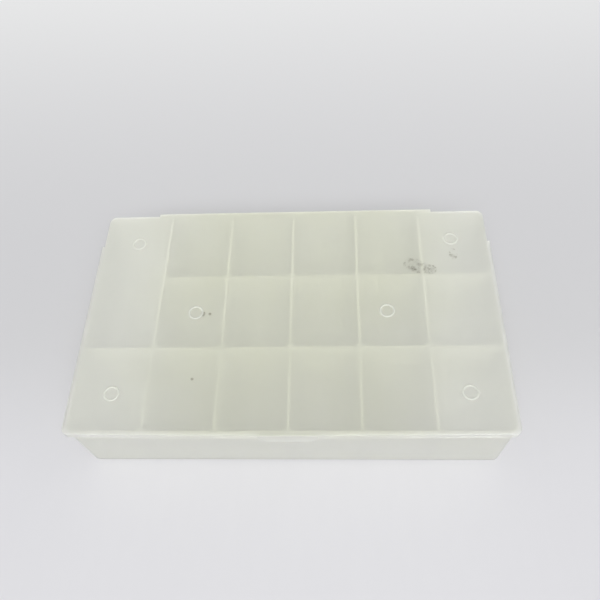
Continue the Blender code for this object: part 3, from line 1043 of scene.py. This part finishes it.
class SORTING_OT_lid(bpy.types.Operator):
    """Model the lid: bowed plate, skirt on three sides, hinge flange and ring marks"""

    bl_idname = "sorting.lid"
    bl_label = "Lid"

    def execute(self, context):
        sizes = context.scene.sorting_lid
        finish = context.scene.sorting_finish
        top = TAB_HIGH.z
        under = top - sizes.thickness
        half_width = LID_HIGH.x
        front = TAB_LOW.y + sizes.latch_lip + sizes.front_bow
        back = LID_HIGH.y - sizes.flange_depth
        skirt_back = back - sizes.skirt_back_stop
        spare_back = skirt_back + sizes.skirt_back_stop / 2
        lid = block("frosted_lid", (-half_width, front, under), (half_width, spare_back, top))
        round_edges(lid, upright_at(front), sizes.corner_radius, LID_CORNER_STEPS)
        notch = TAB_HIGH.x + sizes.latch_slit
        self.bow_front(lid, sizes, front, half_width - sizes.corner_radius, notch)
        self.hang_skirt(lid, sizes, under, notch, spare_back)
        self.finish_back(lid, sizes, skirt_back, back, under)
        softened(lid, sizes.soft_edge)
        grown_on(lid, self.ring_marks(sizes, front, half_width, top))
        smoothed(lid)
        dressed(lid, frosted_lid_plastic(finish), "lid")
        self.whiten_rings(lid, rubbed_ring_plastic(finish), top)
        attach(lid, "lid")
        return {"FINISHED"}

    def bow_front(self, lid, sizes, front, reach, notch):
        """Swell the front edge: most at its middle, nothing where the corners start."""
        strip = front + BOW_STRIP * sizes.corner_radius
        cut(lid, anywhere, Y, strip)
        in_front = between(Y, front - sizes.front_bow, strip)
        stations = [reach * step / BOW_STEPS for step in range(1 - BOW_STEPS, BOW_STEPS)] + [-notch, notch]
        for station in stations:
            cut(lid, in_front, X, station)
        for station in stations:
            swell = sizes.front_bow * (1 - (station / reach) ** 2)
            move(lid, points_at(x=station, y=front), (0, -swell, 0))

    def hang_skirt(self, lid, sizes, under, notch, spare_back):
        """Draw the skirt down from a rim round the underside, but not where the latch tab hangs."""
        pick(lid, "FACE", lambda face: face.normal.z < -SQUARE_ON)
        bpy.ops.mesh.inset(thickness=sizes.skirt_wall, use_even_offset=True)
        bpy.ops.mesh.select_all(action="INVERT")
        shape = bmesh.from_edit_mesh(lid.data)
        for face in shape.faces:
            middle = face.calc_center_median()
            at_back = middle.y > spare_back - sizes.skirt_wall
            at_notch = abs(middle.x) < notch and middle.y < 0
            if face.normal.z > -SQUARE_ON or at_back or at_notch:
                face.select_set(False)
        bmesh.update_edit_mesh(lid.data)
        pull((0, 0, LID_LOW.z - under))

    def finish_back(self, lid, sizes, skirt_back, back, under):
        """End the skirt square, then carry the plate on to the back corners and the hinge flange."""
        edit_whole(lid)
        bpy.ops.mesh.bisect(
            plane_co=(0, skirt_back, 0),
            plane_no=(0, 1, 0),
            use_fill=True,
            clear_outer=True,
            threshold=SAME_PLACE,
        )
        end = faces_at(Y, skirt_back, 1)
        cut(lid, end, Z, under)
        plate_end = both(end, lambda face: face.calc_center_median().z > under)
        pick_span(lid, plate_end, X, TRAY_LOW.x, TRAY_HIGH.x)
        pull((0, back - skirt_back, 0))
        corner = bpy.context.scene.sorting_tray.corner_radius
        round_edges(lid, upright_at(back), corner, LID_CORNER_STEPS)
        pick_span(lid, faces_at(Y, back, 1), X, WEB_LOW.x, WEB_HIGH.x)
        pull((0, sizes.flange_depth, 0))

    def ring_marks(self, sizes, front, half_width, top):
        """Low rings, one near each corner and two across the middle, mostly sunk in the lid."""
        proud = LID_HIGH.z - top
        tube = sizes.ring_tube
        half_seen = math.sqrt(tube**2 - (tube - proud) ** 2)
        far = half_width - sizes.ring_side_inset
        near = sizes.ring_spacing / 2
        low = front + sizes.ring_end_inset
        high = LID_HIGH.y - sizes.ring_end_inset
        right = [(far, low), (far, high), (near, (low + high) / 2)]
        places = right + [(-x, y) for x, y in right]
        object_mode()
        bpy.ops.mesh.primitive_torus_add(
            location=(*places[0], top + proud - tube),
            major_radius=sizes.ring_radius - half_seen,
            minor_radius=tube,
            major_segments=RING_STEPS,
            minor_segments=RING_TUBE_STEPS,
        )
        first = placed("ring_mark")
        rings = [first]
        for x, y in places[1:]:
            rings.append(copied(first, "ring_mark", (x - places[0][0], y - places[0][1], 0)))
        active(first)
        for ring in rings:
            ring.select_set(True)
        bpy.ops.object.join()
        return first

    def whiten_rings(self, lid, plastic, top):
        """Give what stands proud of the lid's top its own plastic."""
        lid.data.materials.append(plastic)
        pick(lid, "FACE", lambda face: face.calc_center_median().z > top + SAME_PLACE)
        lid.active_material_index = 1
        bpy.ops.object.material_slot_assign()
        object_mode()


class SORTING_OT_hinge_strip(bpy.types.Operator):
    """Model the thin folded strip that joins the lid to the tray"""

    bl_idname = "sorting.hinge_strip"
    bl_label = "Hinge Strip"

    def execute(self, context):
        thick = context.scene.sorting_lid.hinge_strip
        rooted = TRAY_HIGH.y - thick / 2
        low = Vector((WEB_LOW.x, rooted, WEB_LOW.z))
        high = Vector((WEB_HIGH.x, HINGE_AXIS.y, WEB_LOW.z + thick))
        strip = block("hinge_strip", low, high)
        pick(strip, "FACE", faces_at(Y, HINGE_AXIS.y, 1))
        bpy.ops.mesh.spin(steps=FOLD_STEPS, angle=math.pi, center=HINGE_AXIS, axis=(-1, 0, 0))
        welded(strip)
        bpy.ops.mesh.normals_make_consistent(inside=False)
        pick(strip, "FACE", faces_at(Y, HINGE_AXIS.y, -1))
        pull((0, rooted - HINGE_AXIS.y, 0))
        welded(strip)
        smoothed(strip)
        dressed(strip, frosted_lid_plastic(context.scene.sorting_finish), "hinge_web")
        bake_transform(strip)
        return {"FINISHED"}


class SORTING_OT_latch_tab(bpy.types.Operator):
    """Model the springy tab in the front skirt, with its tapered foot, finger lip and snap bead"""

    bl_idname = "sorting.latch_tab"
    bl_label = "Latch Tab"

    def execute(self, context):
        sizes = context.scene.sorting_lid
        half = TAB_HIGH.x
        front = TAB_LOW.y + sizes.latch_lip
        inner = front + sizes.skirt_wall
        foot = TAB_LOW.z
        skirt_foot = LID_LOW.z
        root = TAB_HIGH.z - sizes.thickness
        tab = block("latch_strip", (-half, front, foot), (half, inner, root + sizes.thickness / 4))
        lip_top = foot + sizes.latch_lip_height
        bead = foot + sizes.latch_bead_rise
        bead_low = bead - sizes.latch_bead_height / 2
        bead_high = bead + sizes.latch_bead_height / 2
        heights = [skirt_foot + (root - skirt_foot) * step / TAB_BENDS for step in range(TAB_BENDS + 1)]
        heights += [lip_top, bead_low, bead, bead_high]
        for height in sorted(set(heights)):
            cut(tab, anywhere, Z, height)
        self.taper(tab, half - sizes.latch_foot_width / 2, foot, skirt_foot)
        self.lean_out(tab, sizes.latch_lip, front, lip_top, skirt_foot, (bead, bead_high))
        move(tab, points_at(y=inner, z=bead), (0, TAB_HIGH.y - inner, 0))
        softened(tab, sizes.soft_edge / 2)
        smoothed(tab)
        dressed(tab, frosted_latch_plastic(context.scene.sorting_finish), "latch_tab")
        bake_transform(tab)
        return {"FINISHED"}

    def taper(self, tab, most, foot, skirt_foot):
        """Draw the tab's sides in below the skirt, towards its narrower foot."""
        shape = bmesh.from_edit_mesh(tab.data)
        heights = sorted({round(point.co.z, 7) for point in shape.verts if point.co.z < skirt_foot})
        for height in heights:
            narrow = most * (skirt_foot - height) / (skirt_foot - foot)
            for side in (-1, 1):
                on_side = both(points_at(z=height), lambda point: point.co.x * side > 0)
                move(tab, on_side, (-side * narrow, 0, 0))

    def lean_out(self, tab, lip, front, lip_top, skirt_foot, heights):
        """Lean the tab's face out below the skirt, as far as the finger lip at its foot."""
        at_lip = both(points_at(y=front), lambda point: point.co.z < lip_top + SAME_PLACE)
        move(tab, at_lip, (0, -lip, 0))
        for height in heights:
            lean = lip * (skirt_foot - height) / (skirt_foot - lip_top)
            move(tab, points_at(y=front, z=height), (0, -lean, 0))


# Stage


class SORTING_OT_studio(bpy.types.Operator):
    """Lay the floor, hang the softbox and set up the camera"""

    bl_idname = "sorting.studio"
    bl_label = "Studio"

    def execute(self, context):
        studio = context.scene.sorting_studio
        self.lay_floor(studio)
        self.light(context.scene, studio)
        self.set_camera(context.scene)
        context.scene.view_settings.view_transform = "Standard"
        return {"FINISHED"}

    def lay_floor(self, studio):
        """A wide pale floor with faint clouds in its paper, a painted shadow near the box and painted light
        far off.
        """
        object_mode()
        bpy.ops.mesh.primitive_plane_add(size=FLOOR_WIDTH)
        floor = placed("studio_floor")
        edit_whole(floor)
        bpy.ops.mesh.subdivide(number_cuts=3)
        object_mode()
        paper = bpy.data.materials.new("studio_paper")
        paper.use_nodes = True
        tree = paper.node_tree
        shader = tree.nodes["Principled BSDF"]
        shader.inputs["Roughness"].default_value = 0.75
        shader.inputs["Specular IOR Level"].default_value = 0.25
        pale = opaque(studio.floor_colour)
        duller = opaque([part * FLOOR_CLOUDS for part in studio.floor_colour])
        clouds = {"Clear Tint": duller, "Milky Tint": pale, "Cloud Scale": 9.0}
        cloud = group_node(tree, milky_cloud(), clouds)
        tree.links.new(self.shaded(tree, cloud.outputs["Tint"], studio), shader.inputs["Base Color"])
        floor.data.materials.append(paper)

    def shaded(self, tree, tint, studio):
        """The floor's colour, with a painted shadow beside the box and behind it, and painted light that makes
        it paler again far off.
        """
        back = axes_of(tree, object_place(tree))["Y"]
        for band, tone in ((SHADE_BAND, studio.floor_shade), (FAR_LIGHT_BAND, studio.floor_far)):
            tint = mixed_tints(tree, eased(tree, back, *band), tint, opaque(tone))
        return tint

    def light(self, scene, studio):
        """Even light all round and one large softbox in front."""
        world = bpy.data.worlds.new("studio_light")
        world.use_nodes = True
        background = world.node_tree.nodes["Background"]
        background.inputs["Color"].default_value = (0.97, 0.98, 1.0, 1)
        background.inputs["Strength"].default_value = studio.fill
        scene.world = world
        softbox = bpy.data.lights.new("softbox", "AREA")
        softbox.shape = "RECTANGLE"
        softbox.size, softbox.size_y = SOFTBOX_SIZE
        softbox.energy = studio.key_power
        lamp = bpy.data.objects.new("softbox", softbox)
        lamp.location = SOFTBOX_PLACE
        lamp.rotation_euler = (-SOFTBOX_PLACE).to_track_quat("-Z", "Y").to_euler()
        scene.collection.objects.link(lamp)

    def set_camera(self, scene):
        """The photograph's viewpoint."""
        lens = bpy.data.cameras.new("camera")
        lens.lens = LENS
        lens.sensor_width = SENSOR
        lens.clip_start = NEAREST_SEEN
        camera = bpy.data.objects.new("camera", lens)
        place = Matrix.Translation(CAMERA_PLACE)
        for turn, axis in CAMERA_TURNS.values():
            place = place @ Matrix.Rotation(math.radians(turn), 4, axis)
        camera.matrix_world = place
        scene.collection.objects.link(camera)
        scene.camera = camera


PIECE_OPERATORS = (
    SORTING_OT_tray_shell,
    SORTING_OT_column_dividers,
    SORTING_OT_partitions,
    SORTING_OT_lid,
    SORTING_OT_hinge_strip,
    SORTING_OT_latch_tab,
    SORTING_OT_studio,
)

GROUPS = {
    "sorting_tray": SortingTraySizes,
    "sorting_lid": SortingLidSizes,
    "sorting_finish": SortingFinish,
    "sorting_studio": SortingStudio,
}


class SORTING_PT_builder(bpy.types.Panel):
    """Sizes, colours and the steps that build the tray"""

    bl_label = "Sorting Tray"
    bl_idname = "SORTING_PT_builder"
    bl_space_type = "VIEW_3D"
    bl_region_type = "UI"
    bl_category = "Sorting Tray"

    def draw(self, context):
        for name, kind in GROUPS.items():
            box = self.layout.box()
            box.label(text=name.removeprefix("sorting_").title())
            for size in kind.__annotations__:
                box.prop(getattr(context.scene, name), size)
        for operator in PIECE_OPERATORS:
            self.layout.operator(operator.bl_idname)


def register():
    """Make the sizes, the operators and the panel known to Blender."""
    for name, group in GROUPS.items():
        bpy.utils.register_class(group)
        setattr(bpy.types.Scene, name, PointerProperty(type=group))
    for operator in PIECE_OPERATORS:
        bpy.utils.register_class(operator)
    bpy.utils.register_class(SORTING_PT_builder)


def unregister():
    """Take the panel, the operators and the sizes away again."""
    bpy.utils.unregister_class(SORTING_PT_builder)
    for operator in reversed(PIECE_OPERATORS):
        bpy.utils.unregister_class(operator)
    for name, group in reversed(list(GROUPS.items())):
        delattr(bpy.types.Scene, name)
        bpy.utils.unregister_class(group)


def main():
    """Build every piece and the stage."""
    register()
    bpy.ops.sorting.tray_shell()
    bpy.ops.sorting.column_dividers()
    bpy.ops.sorting.partitions()
    bpy.ops.sorting.lid()
    bpy.ops.sorting.hinge_strip()
    bpy.ops.sorting.latch_tab()
    bpy.ops.sorting.studio()


if __name__ == "__main__":
    main()
